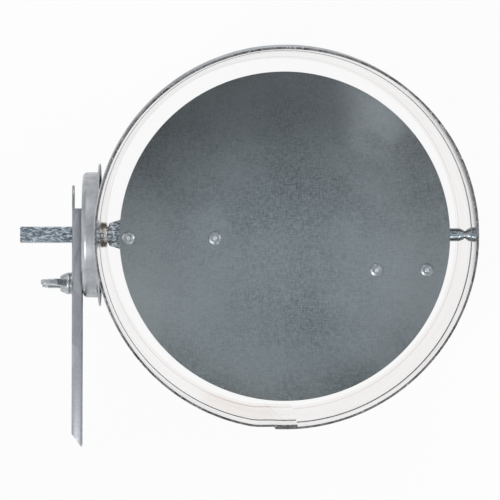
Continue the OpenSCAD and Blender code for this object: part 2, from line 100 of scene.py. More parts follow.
# Clamp
BOLT_RADIUS = 30.4 * MM
BOLT_R = 3.175 * MM
HEAD_X = 123.9 * MM
LEVER_OUT = 131.9 * MM
NECK_END = 127.4 * MM
BOLT_END = 147.5 * MM
NUT_X = 133.05 * MM

TURNED = Matrix.Translation((0, 0, AXIS_Z)) @ Matrix.Rotation(-STAND, 4, "X")
LEVEL = Matrix.Translation((0, 0, AXIS_Z))
LEVERWARD = Matrix.Rotation(math.radians(-90), 4, "Y")
PINWARD = Matrix.Rotation(math.radians(90), 4, "Y")


def smooth_step(low, high, value):
    t = min(1.0, max(0.0, (value - low) / (high - low)))
    return t * t * (3 - 2 * t)


# shaping


def rounded(corners, steps=5):
    """An outline of (x, y, radius) corners, with each corner turned into an arc."""
    outline = []
    count = len(corners)
    for i, (x, y, radius) in enumerate(corners):
        here = Vector((x, y))
        back = Vector(corners[i - 1][:2]) - here
        ahead = Vector(corners[(i + 1) % count][:2]) - here
        if radius <= 0:
            outline.append((x, y))
            continue
        back.normalize()
        ahead.normalize()
        half = back.angle(ahead) / 2
        if half > math.radians(89):
            outline.append((x, y))
            continue
        centre = here + (back + ahead).normalized() * radius / math.sin(half)
        start = here + back * radius / math.tan(half) - centre
        sweep = start.angle_signed(here + ahead * radius / math.tan(half) - centre)
        for step in range(steps + 1):
            spoke = start.copy()
            spoke.rotate(Matrix.Rotation(-sweep * step / steps, 2))
            outline.append(tuple(centre + spoke))
    return outline


def loop_of(bm, points):
    """A closed ring of edges through the points."""
    verts = [bm.verts.new(p) for p in points]
    edges = [bm.edges.new(pair) for pair in zip(verts, verts[1:] + verts[:1])]
    return verts, edges


def lathe(outline, steps=96, closed=True):
    """Spins an outline of (radius, height) points around Z."""
    bm = bmesh.new()
    verts = [bm.verts.new((max(0.0, r), 0, z)) for r, z in outline]
    pairs = list(zip(verts, verts[1:])) + ([(verts[-1], verts[0])] if closed else [])
    edges = [bm.edges.new(pair) for pair in pairs]
    bmesh.ops.spin(bm, geom=verts + edges, cent=(0, 0, 0), axis=(0, 0, 1), dvec=(0, 0, 0),
                   angle=TURN, steps=steps, use_merge=True, use_duplicate=False)
    tidy(bm)
    return bm


def tidy(bm, gap=1e-6):
    bmesh.ops.remove_doubles(bm, verts=bm.verts, dist=gap)
    bmesh.ops.dissolve_degenerate(bm, edges=bm.edges, dist=gap / 2)
    bmesh.ops.recalc_face_normals(bm, faces=bm.faces)


def slab(outline, thickness):
    """A flat plate of that outline, from z = 0 up."""
    bm = bmesh.new()
    verts, _ = loop_of(bm, [(x, y, 0) for x, y in outline])
    face = bm.faces.new(verts)
    grown = bmesh.ops.extrude_face_region(bm, geom=[face])["geom"]
    bmesh.ops.translate(bm, vec=(0, 0, thickness),
                        verts=[v for v in grown if isinstance(v, bmesh.types.BMVert)])
    tidy(bm)
    return bm


def soften(bm, width, angle=40, segments=2):
    """Rounds every edge that is sharper than the angle."""
    sharp = [e for e in bm.edges if len(e.link_faces) == 2 and e.calc_face_angle(0) > math.radians(angle)]
    bmesh.ops.bevel(bm, geom=sharp, offset=width, affect="EDGES", segments=segments, profile=0.5,
                    material=-1, clamp_overlap=True)
    return bm


def make(name, bm, place, sharp=35):
    """A mesh object from the bmesh, with its place in its mesh."""
    bmesh.ops.transform(bm, matrix=place, verts=bm.verts)
    mesh = bpy.data.meshes.new(name)
    bm.to_mesh(mesh)
    bm.free()
    mesh.shade_smooth()
    mesh.set_sharp_from_angle(angle=math.radians(sharp))
    piece = bpy.data.objects.new(name, mesh)
    bpy.context.scene.collection.objects.link(piece)
    return piece


def settle(piece, sharp=35):
    """Applies the modifiers that a piece has and shades it again."""
    bpy.context.view_layer.update()
    shaped = bpy.data.meshes.new_from_object(
        piece.evaluated_get(bpy.context.evaluated_depsgraph_get()))
    piece.modifiers.clear()
    piece.data = shaped
    shaped.shade_smooth()
    shaped.set_sharp_from_angle(angle=math.radians(sharp))
    return piece


def cut(piece, *cutters, sharp=35):
    """Takes the cutters out of the piece."""
    for cutter in cutters:
        step = piece.modifiers.new("cut", "BOOLEAN")
        step.operation = "DIFFERENCE"
        step.solver = "EXACT"
        step.object = cutter
    settle(piece, sharp)
    for cutter in cutters:
        bpy.data.objects.remove(cutter)
    return piece


def dress(piece, material, body, node):
    """Gives the piece its finish and lets it stand for a node of the frame."""
    piece.data.materials.clear()
    piece.data.materials.append(material)
    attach(piece, body)
    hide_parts(node)
    return piece


def copy_of(node, name, width=0.12 * MM):
    """A merged copy of a node's mesh, with its sharp edges rounded."""
    bm = bmesh.new()
    bm.from_mesh(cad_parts[node].data)
    bmesh.ops.remove_doubles(bm, verts=bm.verts, dist=2e-6)
    bmesh.ops.dissolve_degenerate(bm, edges=bm.edges, dist=1e-6)
    bmesh.ops.dissolve_limit(bm, angle_limit=math.radians(0.5), verts=bm.verts, edges=bm.edges,
                             use_dissolve_boundaries=False, delimit=set())
    if width:
        soften(bm, width)
    return make(name, bm, Matrix.Identity(4))


# the sleeve


def bead_rise(z):
    """How far the wall stands out at height z, with the bead's feet eased."""
    crown = (BEAD_W ** 2 / 4 + BEAD_H ** 2) / (2 * BEAD_H)
    rise = 0.0
    for shift in range(-3, 4):
        for middle in (BEAD_INSET, SLEEVE_LEN - BEAD_INSET):
            off = z + shift * 0.2 * MM - middle
            if abs(off) < BEAD_W / 2:
                rise += max(0.0, BEAD_H - crown + math.sqrt(crown ** 2 - off ** 2)) / 7
    return rise


def wall_heights():
    """Heights of the rings along the wall, closer together at the beads."""
    heights = []
    z = 0.6 * MM
    while z < SLEEVE_LEN - 0.6 * MM:
        heights.append(z)
        near = min(abs(z - BEAD_INSET), abs(z - SLEEVE_LEN + BEAD_INSET)) < 7 * MM
        z += 0.5 * MM if near else 4 * MM
    return heights


def rim_flare(z):
    """The collars beyond the beads open out a little."""
    over = max(0.0, BEAD_INSET - z, z - SLEEVE_LEN + BEAD_INSET)
    return FLARE * over / BEAD_INSET


def rolled_sleeve():
    """A flat strip with its beads, rolled round and lapped over its own end at -Y."""
    bm = bmesh.new()
    edge = 0.3 * MM
    inner = [(bead_rise(z), z) for z in wall_heights()]
    outer = [(r + SHEET_T, z) for r, z in reversed(inner)]
    top, low = SLEEVE_LEN, 0.0
    section = (inner + [(0, top - edge), (0.09 * MM, top - 0.09 * MM), (edge, top),
                        (SHEET_T - edge, top), (SHEET_T - 0.09 * MM, top - 0.09 * MM), (SHEET_T, top - edge)]
               + outer + [(SHEET_T, edge), (SHEET_T - 0.09 * MM, 0.09 * MM), (SHEET_T - edge, low),
                          (edge, low), (0.09 * MM, 0.09 * MM), (0, edge)])
    steps = 300
    length = TURN * SLEEVE_IR + LAP
    verts, edges = loop_of(bm, [(0, SLEEVE_IR + r, z) for r, z in section])
    first = bm.faces.new(verts)
    first.material_index = 0
    ring = edges
    for _ in range(steps):
        grown = bmesh.ops.extrude_edge_only(bm, edges=ring)["geom"]
        ring = [g for g in grown if isinstance(g, bmesh.types.BMEdge)
                and all(len(e.link_faces) < 2 for e in (g,)) and g.is_boundary]
        moved = [g for g in grown if isinstance(g, bmesh.types.BMVert)]
        bmesh.ops.translate(bm, vec=(length / steps, 0, 0), verts=moved)
    bmesh.ops.holes_fill(bm, edges=[e for e in bm.edges if e.is_boundary], sides=0)
    # rolling it up: the first end is the inner layer of the lap, the last end the outer one
    start = -math.pi / 2 + LAP / 2 / SLEEVE_IR
    for v in bm.verts:
        along, radius, z = v.co
        angle = start - along / SLEEVE_IR
        joggle = 1 - smooth_step(LAP, LAP + 15 * MM, along)
        radius -= (SHEET_T + 0.02 * MM) * joggle
        radius += rim_flare(z)
        rim = max(0.0, abs(z - AXIS_Z) - 60 * MM) / (54.3 * MM)
        radius += rim * rim * 0.45 * MM * math.sin(2 * angle + 0.9 + (2.0 if z < AXIS_Z else 0.0))
        radius += rim * rim * 0.25 * MM * math.sin(3 * angle + 0.4)
        v.co = (radius * math.cos(angle), radius * math.sin(angle), z)
    bmesh.ops.recalc_face_normals(bm, faces=bm.faces)
    sleeve = make("sleeve_wall", bm, Matrix.Identity(4), sharp=40)

    bore = lathe([(0, 0), (BUSH_HOLE_R, 0), (BUSH_HOLE_R, 0.15), (0, 0.15)], 64, closed=False)
    bore = make("bore", bore, LEVEL @ LEVERWARD)
    hole = lathe([(0, 0), (PIN_HOLE_R, 0), (PIN_HOLE_R, 0.15), (0, 0.15)], 48, closed=False)
    hole = make("hole", hole, LEVEL @ PINWARD)
    return cut(sleeve, bore, hole, sharp=40)


# the blade and its bar


def round_blade():
    edge = 0.25 * MM
    outline = rounded([(0, 0, 0), (BLADE_R, 0, edge), (BLADE_R, BLADE_T, edge), (0, BLADE_T, 0)], 3)
    bm = lathe(outline, 256, closed=False)
    return make("blade_disc", bm, TURNED @ Matrix.Translation((BLADE_X, BLADE_Y, BLADE_Z)))


def bar_height(y, half, height, corner):
    """Half height of a rounded square bar at y."""
    into = abs(y) - (half - corner)
    if into <= 0:
        return height
    return height - corner + math.sqrt(max(0.0, corner ** 2 - min(into, corner) ** 2))


def bar_ring(x):
    """Outline across the bar at x: square outside, pressed flat and wide under the blade."""
    half_w = BAR_W / 2
    opening = smooth_step(FLARE_X, FLARE_X + 1.2 * MM, x)
    half = half_w + opening * (2 * MM + (TAIL_HALF - half_w - 2 * MM)
                               * min(1, max(0, (x - FLARE_X) / (TAIL_EDGE - FLARE_X))))
    drop = smooth_step(FLARE_X + 2.4 * MM, FLARE_X + 4.9 * MM, x)
    lift = min(1.0, max(0.0, (x - FLARE_X) / (5 * MM)))
    ring = []
    count = 28
    for side in (1, -1):
        for i in range(count):
            y = half * math.sin(math.pi * ((i + 0.5) / count - 0.5)) * side
            square = bar_height(y, half_w, half_w, 1.0 * MM) if abs(y) < half_w else 0.0
            ridge = 1 - smooth_step(2.9 * MM, 4.9 * MM, abs(y + 0.6 * MM))
            wing_top = TAIL_LOW + 1.6 * MM + 1.1 * MM * smooth_step(0, 1, lift)
            top = square * (1 - opening) + opening * (wing_top + (half_w - wing_top) * ridge)
            top = top * (1 - drop) + BLADE_Z * drop
            low = -square * (1 - lift) + TAIL_LOW * lift
            edge = 0.35 * MM
            into = max(0.0, abs(y) - (half - edge)) / edge
            pinch = opening * (1 - math.sqrt(max(0.0, 1 - min(1, into) ** 2))) * 0.9
            middle = (top + low) / 2
            z = top if side == 1 else low
            ring.append((x, y, z + (middle - z) * pinch))
    return ring


def square_bar():
    bm = bmesh.new()
    places = [BAR_END, BAR_END + 0.25 * MM, -150 * MM, -130 * MM, FLARE_X]
    x = FLARE_X
    while x < TAIL_EDGE + 1 * MM:
        x += 0.2 * MM
        places.append(x)
    places += [-80 * MM, -60 * MM, TAIL_END]
    verts, ring = loop_of(bm, bar_ring(places[0]))
    ends = [ring]
    for x in places[1:]:
        grown = bmesh.ops.extrude_edge_only(bm, edges=ring)["geom"]
        rim = [g for g in grown if isinstance(g, bmesh.types.BMVert)]
        ring = [g for g in grown if isinstance(g, bmesh.types.BMEdge) and g.is_boundary
                and g.verts[0] in rim and g.verts[1] in rim]
        target = bar_ring(x)
        linked = []
        for v in verts:
            linked.append(next(e.other_vert(v) for e in v.link_edges if e.other_vert(v) in rim))
        for v, place in zip(linked, target):
            v.co = place
        verts = linked
    ends.append(ring)
    # the far end is closed, and the near end is the open end of a folded tube
    bmesh.ops.contextual_create(bm, geom=ends[1])
    near = bmesh.ops.contextual_create(bm, geom=ends[0])["faces"]
    bmesh.ops.inset_region(bm, faces=near, thickness=STRIP_T, depth=0)
    bmesh.ops.translate(bm, verts=near[0].verts, vec=(14 * MM, 0, 0))
    tidy(bm, 1e-7)
    piece = make("square_bar_folded", bm, TURNED, sharp=38)
    return piece


# bushing, bearing, pin


def bar_bushing():
    """The ring that carries the bar in the wall."""
    bore, wall = 6.47 * MM, 7.27 * MM
    lip_in, lip_out = 7.87 * MM, 9.67 * MM
    low, step = 110.1 * MM, 112.75 * MM
    face, top = SLEEVE_OR, SLEEVE_OR + 1.4 * MM
    outline = rounded([(bore, low, 0.3 * MM), (lip_in, low, 0.8 * MM), (lip_in, step, 0), (wall, step, 0),
                       (wall, face, 0), (lip_out, face, 0.2 * MM), (lip_out, top, 0.5 * MM),
                       (bore, top, 0.3 * MM)])
    return make("bar_bushing_ring", lathe(outline), LEVEL @ LEVERWARD)


def spring_bearing():
    """The barrel with its necked end and slot, and the plate beside it."""
    bore = PIN_R + 0.05 * MM
    tip = PIN_TIP_R + 0.05 * MM
    length = BARREL_END - BARREL_START
    neck = length - NOSE_LEN
    outline = rounded([(0, 0, 0), (BARREL_R, 0, 0.6 * MM), (BARREL_R, neck, 1.6 * MM),
                       (3.0 * MM, length, 0.2 * MM), (tip, length, 0.1 * MM), (tip, neck, 0),
                       (bore, neck - 0.4 * MM, 0), (bore, 2 * MM, 0), (0, 2 * MM, 0)], 6)
    barrel = make("barrel", lathe(outline, 96, closed=False), Matrix.Translation((BARREL_START, 0, 0)) @ PINWARD)
    slot_end = BARREL_END - NOSE_LEN - 0.3 * MM
    half = SLOT_W / 2
    slot = slab(rounded([(slot_end - 13 * MM, -half, 0), (slot_end, -half, half * 0.98),
                         (slot_end, half, half * 0.98), (slot_end - 13 * MM, half, 0)], 8), 6 * MM)
    slot = make("slot", slot, Matrix.Translation((0, 0, 1.9 * MM)))
    cut(barrel, slot)
    plate = slab(rounded([(PLATE_START, -PLATE_REACH, 3 * MM), (PLATE_START + PLATE_LEN, -PLATE_REACH, 3 * MM),
                          (PLATE_START + PLATE_LEN, 0, 0), (PLATE_START, 0, 0)], 8), PLATE_T)
    soften(plate, 0.2 * MM, 60)
    plate = make("plate", plate, Matrix.Translation((0, 0, BLADE_Z - PLATE_T)))
    join = barrel.modifiers.new("join", "BOOLEAN")
    join.operation = "UNION"
    join.solver = "EXACT"
    join.object = plate
    settle(barrel)
    bpy.data.objects.remove(plate)
    barrel.name = barrel.data.name = "spring_bearing_barrel"
    barrel.data.transform(TURNED)
    return barrel


def pivot_pin():
    outline = rounded([
        (0, PIN_START, 0), (PIN_R, PIN_START, 0.3 * MM), (PIN_R, PIN_STEP - 4.4 * MM, 0.1 * MM),
        (PIN_R - 0.6 * MM, PIN_STEP - 4.3 * MM, 0.1 * MM), (PIN_R - 0.6 * MM, PIN_STEP - 1.9 * MM, 0.1 * MM),
        (PIN_R, PIN_STEP - 1.8 * MM, 0.1 * MM), (PIN_R, PIN_STEP, 0.25 * MM),
        (PIN_TIP_R, PIN_STEP, 0.1 * MM), (PIN_TIP_R, PIN_END, 0.8 * MM), (0, PIN_END, 0)])
    return make("pivot_pin_turned", lathe(outline, 64, closed=False), TURNED @ PINWARD)


def pin_spring():
    """A wire section spun along a helix, with its last turns closed up."""
    wire, turns, steps = 0.35 * MM, 9, 36
    start, end = 64.25 * MM, 85.95 * MM
    coil = PIN_R - wire - 0.15 * MM
    length = end - start - 2 * wire
    bm = bmesh.new()
    ring = bmesh.ops.create_circle(bm, cap_ends=True, radius=wire, segments=10)
    bmesh.ops.rotate(bm, verts=ring["verts"], matrix=Matrix.Rotation(math.pi / 2, 3, "X"), cent=(0, 0, 0))
    bmesh.ops.translate(bm, verts=ring["verts"], vec=(coil, 0, 0))
    geom = list(bm.verts) + list(bm.edges) + list(bm.faces)
    bmesh.ops.spin(bm, geom=geom, cent=(0, 0, 0), axis=(0, 0, 1), dvec=(0, 0, length / (turns * steps)),
                   angle=TURN * turns, steps=turns * steps, use_merge=False, use_duplicate=False)
    tight = 2.02 * wire
    open_pitch = (length - 2 * tight) / (turns - 2)
    for v in bm.verts:
        # which turn of the wire this point is on, and where that turn lies once the ends are closed up
        around = math.atan2(v.co.y, v.co.x) % TURN / TURN
        turn = around + round(v.co.z * turns / length - around)
        lies = (tight * min(1.0, turn) + open_pitch * min(turns - 2.0, max(0.0, turn - 1))
                + tight * max(0.0, turn - turns + 1))
        v.co.z += lies - turn * length / turns
    tidy(bm, 1e-7)
    return make("pin_spring_coil", bm, TURNED @ Matrix.Translation((start + wire, 0, 0)) @ PINWARD)


# rivets


def rivet_body(name, place, head_r, head_h, shank_r, grip, bulb_r, bulb_h, hole_r, seed):
    """A blind rivet with a rolled head, its hole showing the stem."""
    crown = rounded([(hole_r, -grip - bulb_h, 0.1 * MM), (bulb_r, -grip - bulb_h, 0.6 * MM),
                     (bulb_r, -grip, 0.5 * MM), (shank_r, -grip, 0), (shank_r, 0, 0),
                     (head_r, 0, 0.15 * MM), (head_r, head_h * 0.38, 0.4 * MM),
                     (head_r * 0.68, head_h, 0.9 * MM), (hole_r + 0.75 * MM, head_h, 0.25 * MM),
                     (hole_r + 0.6 * MM, head_h - 0.6 * MM, 0.1 * MM), (hole_r, head_h - 0.62 * MM, 0)], 4)
    bm = lathe(crown, 48)
    dice = random.Random(seed)
    for v in bm.verts:
        if v.co.z > 0.05 * MM:
            v.co.z += 0.04 * MM * noise.noise(v.co * 600 + Vector((seed, 0, 0)))
    tilt = Matrix.Rotation(dice.uniform(0, TURN), 4, "Z")
    return make(name, bm, place @ tilt, sharp=50)


def rivet_stem(name, place, radius, head_h, grip, bulb_h, seed):
    """The stem that broke off inside the rivet."""
    top = head_h - 0.15 * MM
    low = -grip - bulb_h
    broad = radius + 0.5 * MM
    outline = rounded([(0, low - 1.3 * MM, 0), (broad, low - 1.3 * MM, 0.3 * MM), (broad, low - 0.02 * MM, 0.2 * MM),
                       (radius, low - 0.02 * MM, 0), (radius, top, 0.25 * MM), (radius * 0.55, top + 0.02 * MM, 0),
                       (radius * 0.3, top - 0.08 * MM, 0), (0, top - 0.05 * MM, 0)], 4)
    bm = lathe(outline, 32, closed=False)
    for v in bm.verts:
        if v.co.z > top - 0.2 * MM:
            v.co.z += 0.12 * MM * noise.noise(v.co * 1300 + Vector((seed, 0, 0)))
    return make(name, bm, place, sharp=50)


# pan, lever, clamp


def thread_run(radius, low, high, pitch=1.27 * MM, depth=0.62 * MM):
    """A helical screw thread between two heights."""
    steps = 48
    turns = int((high - low) / pitch) + 2
    bm = bmesh.new()
    verts = [bm.verts.new((r, 0, z)) for r, z in (
        (radius - depth, 0), (radius - 0.05 * MM, pitch * 0.44),
        (radius - 0.05 * MM, pitch * 0.56), (radius - depth, pitch))]
    edges = [bm.edges.new(pair) for pair in zip(verts, verts[1:])]
    bmesh.ops.spin(bm, geom=verts + edges, cent=(0, 0, 0), axis=(0, 0, 1), dvec=(0, 0, pitch / steps),
                   angle=TURN * turns, steps=steps * turns, use_merge=False, use_duplicate=False)
    bmesh.ops.remove_doubles(bm, verts=bm.verts, dist=1e-6)
    bmesh.ops.translate(bm, verts=bm.verts, vec=(0, 0, low - pitch))
    # both ends are trimmed square and closed
    for height, normal in ((low, (0, 0, -1)), (high, (0, 0, 1))):
        bmesh.ops.bisect_plane(bm, geom=list(bm.verts) + list(bm.edges) + list(bm.faces), dist=1e-7,
                               plane_co=(0, 0, height), plane_no=normal, clear_outer=True, clear_inner=False)
    bmesh.ops.holes_fill(bm, edges=[e for e in bm.edges if e.is_boundary], sides=0)
    for v in bm.verts:
        # the end of the thread runs out on a chamfer
        reach = math.hypot(v.co.x, v.co.y)
        limit = radius - max(0.0, v.co.z - (high - 0.8 * MM))
        if reach > limit > 0:
            v.co.x *= limit / reach
            v.co.y *= limit / reach
    bmesh.ops.recalc_face_normals(bm, faces=bm.faces)
    return bm


def clamp_bolt():
    """Domed head, square neck and threaded shank."""
    head_r, head_h = 6.1 * MM, 3 * MM
    crown = (head_r ** 2 + head_h ** 2) / (2 * head_h)
    dome = [(0, HEAD_X - head_h)]
    for i in range(1, 15):
        lean = math.asin(head_r / crown) * i / 14
        dome.append((crown * math.sin(lean), HEAD_X - head_h + crown - crown * math.cos(lean)))
    bolt = lathe(dome + [(head_r, HEAD_X), (BOLT_R, HEAD_X), (BOLT_R - 0.1 * MM, NECK_END + 2 * MM),
                         (0, NECK_END + 2 * MM)], 64, closed=False)
    bmesh.ops.create_cube(bolt, size=1, matrix=Matrix.Translation((0, 0, (HEAD_X + NECK_END) / 2))
                          @ Matrix.Diagonal((2 * BOLT_R, 2 * BOLT_R, NECK_END - HEAD_X + 0.02 * MM, 1)))
    shank = thread_run(BOLT_R, NECK_END - 0.2 * MM, BOLT_END)
    mesh = bpy.data.meshes.new("shank")
    shank.to_mesh(mesh)
    shank.free()
    bolt.from_mesh(mesh)
    bpy.data.meshes.remove(mesh)
    return make("clamp_bolt_threaded", bolt, TURNED @ LEVERWARD @ Matrix.Translation((0, -BOLT_RADIUS, 0)), sharp=30)


def bolt_washer():
    outline = rounded([(3.325 * MM, 0, 0.1 * MM), (7 * MM, 0, 0.2 * MM), (7 * MM, 1 * MM, 0.3 * MM),
                       (3.325 * MM, 1 * MM, 0.2 * MM)], 4)
    return make("bolt_washer_disc", lathe(outline, 64),
                TURNED @ LEVERWARD @ Matrix.Translation((0, -BOLT_RADIUS, LEVER_OUT)))


def wing_nut():
    """Hub and two wings run together as in a casting, with the bore cut last."""
    hub_h, hub_r = 6.3 * MM, 6.9 * MM
    reach, height, thick = 14.8 * MM, 18 * MM, 4.2 * MM
    hub = make("wing_nut_cast", lathe(rounded([
        (0, 0, 0), (hub_r - 0.2 * MM, 0, 0.4 * MM), (hub_r, 1.4 * MM, 0.8 * MM),
        (hub_r - 1.2 * MM, 4.6 * MM, 0.8 * MM), (hub_r - 2.1 * MM, hub_h, 0.6 * MM), (0, hub_h, 0)], 4),
        64, closed=False), Matrix.Identity(4))
    wing = rounded([(1.5 * MM, 1.6 * MM, 0), (hub_r - 0.9 * MM, 1.6 * MM, 0.5 * MM),
                    (hub_r + 1.6 * MM, 4.1 * MM, 2 * MM), (reach - 1.2 * MM, 7.4 * MM, 3 * MM),
                    (reach, 12.5 * MM, 3 * MM), (reach, height, 3.2 * MM),
                    (reach - 6.6 * MM, height, 3.0 * MM), (reach - 9.4 * MM, 10.4 * MM, 4 * MM),
                    (4 * MM, hub_h - 0.4 * MM, 0.6 * MM), (1.5 * MM, hub_h - 0.6 * MM, 0)], 6)
    for side in (1, -1):
        outline = [(x * side, z) for x, z in wing]
        bm = slab(outline, thick)
        bmesh.ops.translate(bm, verts=bm.verts, vec=(0, 0, -thick / 2))
        for v in bm.verts:
            # the wings thin towards their tips
            v.co.z *= 1 - 0.3 * smooth_step(6 * MM, height, v.co.y)
        soften(bm, 0.9 * MM, 50, 3)
        bmesh.ops.rotate(bm, verts=bm.verts, matrix=Matrix.Rotation(math.pi / 2, 3, "X"), cent=(0, 0, 0))
        part = make("wing", bm, Matrix.Identity(4))
        join = hub.modifiers.new("join", "BOOLEAN")
        join.operation = "UNION"
        join.solver = "EXACT"
        join.object = part
        settle(hub)
        bpy.data.objects.remove(part)
    skin = hub.modifiers.new("skin", "REMESH")
    skin.mode = "VOXEL"
    skin.voxel_size = 0.28 * MM
    ease = hub.modifiers.new("ease", "SMOOTH")
    ease.factor = 0.5
    ease.iterations = 6
    settle(hub, 180)
    bore = make("bore", lathe([(0, -2 * MM), (BOLT_R + 0.02 * MM, -2 * MM), (BOLT_R + 0.02 * MM, 25 * MM),
                               (0, 25 * MM)], 48, closed=False), Matrix.Identity(4))
    cut(hub, bore, sharp=60)
    hub.data.transform(TURNED @ LEVERWARD @ Matrix.Translation((0, -BOLT_RADIUS, NUT_X)))
    return hub


# node tools


def put(tree, kind, inputs=None, **settings):
    """A shader node with its settings, and its inputs linked or set."""
    made = tree.nodes.new("ShaderNode" + kind)
    for key, value in settings.items():
        setattr(made, key, value)
    for key, value in (inputs or {}).items():
        if isinstance(value, bpy.types.NodeSocket):
            tree.links.new(value, made.inputs[key])
        else:
            made.inputs[key].default_value = value
    return made


def calc(tree, operation, *values, clamp=False):
    return put(tree, "Math", dict(enumerate(values)), operation=operation, use_clamp=clamp).outputs[0]


def spread(tree, value, low, high, to_low=0.0, to_high=1.0, smooth=True):
    """Value taken from one range to another, held at both ends."""
    made = put(tree, "MapRange", {"Value": value, "From Min": low, "From Max": high,
                                  "To Min": to_low, "To Max": to_high},
               interpolation_type="SMOOTHSTEP" if smooth else "LINEAR", clamp=True)
    return made.outputs["Result"]


def tint(tree, factor, first, second, mode="MIX"):
    """Two colours mixed by a factor."""
    return put(tree, "Mix", {0: factor, 6: first, 7: second}, data_type="RGBA", blend_type=mode).outputs[2]


def stretched(tree, vector, scale):
    return put(tree, "Mapping", {"Vector": vector, "Scale": scale}).outputs[0]


def cloud(tree, vector, scale, detail=3.0, roughness=0.55):
    """Soft noise from 0 to 1."""
    made = put(tree, "TexNoise", {"Vector": vector, "Scale": scale, "Detail": detail, "Roughness": roughness})
    return made.outputs["Fac"]


def rgb(text):
    """A colour written as rrggbb, in linear light."""
    parts = [int(text[i:i + 2], 16) / 255 for i in (0, 2, 4)]
    return tuple([p / 12.92 if p < 0.04045 else ((p + 0.055) / 1.055) ** 2.4 for p in parts] + [1.0])


def new_group(name, inputs, outputs):
    tree = bpy.data.node_groups.new(name, "ShaderNodeTree")
    for label, kind, value in inputs:
        socket = tree.interface.new_socket(label, in_out="INPUT", socket_type="NodeSocket" + kind)
        if value is not None:
            socket.default_value = value
    for label, kind in outputs:
        tree.interface.new_socket(label, in_out="OUTPUT", socket_type="NodeSocket" + kind)
    return tree, put_bare(tree, "NodeGroupInput"), put_bare(tree, "NodeGroupOutput")


def put_bare(tree, kind):
    return tree.nodes.new(kind)


def zinc_group():
    """Zinc on steel: crystals of slightly different grey, fine grain and soft clouds."""
    tree, given, out = new_group("zinc_skin", [
        ("Vector", "Vector", None), ("Light", "Color", (0.8, 0.8, 0.8, 1)), ("Dark", "Color", (0.4, 0.4, 0.4, 1)),
        ("Crystal Scale", "Float", 250.0), ("Crystals", "Float", 0.4), ("Grain Scale", "Float", 1500.0),
        ("Grain", "Float", 0.4), ("Cloud Scale", "Float", 25.0), ("Clouds", "Float", 0.4)],
        [("Color", "Color"), ("Shade", "Float"), ("Height", "Float")])
    vector = given.outputs["Vector"]
    cells = put(tree, "TexVoronoi", {"Vector": vector, "Scale": given.outputs["Crystal Scale"], "Randomness": 1.0})
    cell = put(tree, "SeparateColor", {"Color": cells.outputs["Color"]}).outputs["Red"]
    grain = cloud(tree, vector, given.outputs["Grain Scale"], 3.0, 0.7)
    clouds = cloud(tree, vector, given.outputs["Cloud Scale"], 3.0, 0.5)
    total = None
    for part, amount in ((cell, "Crystals"), (spread(tree, grain, 0.3, 0.7, smooth=False), "Grain"),
                         (spread(tree, clouds, 0.3, 0.7), "Clouds")):
        weighed = calc(tree, "MULTIPLY", calc(tree, "SUBTRACT", part, 0.5), given.outputs[amount])
        total = weighed if total is None else calc(tree, "ADD", total, weighed)
    shade = calc(tree, "ADD", total, 0.5, clamp=True)
    height = calc(tree, "ADD", calc(tree, "MULTIPLY", cell, given.outputs["Crystals"]),
                  calc(tree, "MULTIPLY", grain, given.outputs["Grain"]))
    tree.links.new(tint(tree, shade, given.outputs["Dark"], given.outputs["Light"]), out.inputs["Color"])
    tree.links.new(shade, out.inputs["Shade"])
    tree.links.new(height, out.inputs["Height"])
    return tree


ZINC = zinc_group()


def zinc_steel(name, light, dark, rough=(0.28, 0.42), crystal=(250, 0.3), grain=(1500, 0.4), clouds=(25, 0.4),
               stretch=(1, 1, 1), bump=0.15, depth=0.02, metallic=0.85, extra=None):
    """A zinc-coated steel whose crystals, grain and clouds are set piece by piece."""
    material = bpy.data.materials.new(name)
    material.use_nodes = True
    tree = material.node_tree
    shader = tree.nodes["Principled BSDF"]
    place = put(tree, "TexCoord").outputs["Object"]
    vector = stretched(tree, place, stretch)
    skin = put_bare(tree, "ShaderNodeGroup")
    skin.node_tree = ZINC
    tree.links.new(vector, skin.inputs["Vector"])
    for label, value in (("Light", light), ("Dark", dark), ("Crystal Scale", crystal[0]),
                         ("Crystals", crystal[1]), ("Grain Scale", grain[0]), ("Grain", grain[1]),
                         ("Cloud Scale", clouds[0]), ("Clouds", clouds[1])):
        skin.inputs[label].default_value = value
    color, shade, height = skin.outputs["Color"], skin.outputs["Shade"], skin.outputs["Height"]
    roughness = spread(tree, shade, 0.2, 0.8, rough[1], rough[0], smooth=False)
    if extra:
        color, roughness, height = extra(tree, place, color, roughness, height)
    tree.links.new(color, shader.inputs["Base Color"])
    tree.links.new(roughness, shader.inputs["Roughness"])
    shader.inputs["Metallic"].default_value = metallic
    raised = put(tree, "Bump", {"Height": height, "Strength": bump, "Distance": depth * MM})
    tree.links.new(raised.outputs[0], shader.inputs["Normal"])
    return material


def angle_and_height(tree, place):
    """Angle round the duct in radians from -Y, turning towards +X, and the height."""
    parts = put(tree, "SeparateXYZ", {0: place})
    x, y, z = parts.outputs
    return calc(tree, "ARCTAN2", x, calc(tree, "MULTIPLY", y, -1.0)), z


def window(tree, value, low, high, ease):
    """1 between two limits and 0 outside, with eased sides."""
    return calc(tree, "MULTIPLY", spread(tree, value, low - ease, low + ease),
                spread(tree, value, high - ease, high + ease, 1.0, 0.0))


def weld_spots(tree, angle, z):
    """Round weld marks down the middle of the lap."""
    along = calc(tree, "MULTIPLY", angle, SLEEVE_OR)
    up = calc(tree, "SUBTRACT", calc(tree, "MODULO", calc(tree, "ADD", z, 0.0065), 0.0385), 0.0195)
    far = calc(tree, "SQRT", calc(tree, "ADD", calc(tree, "MULTIPLY", along, along),
                                  calc(tree, "MULTIPLY", up, up)))
    return far


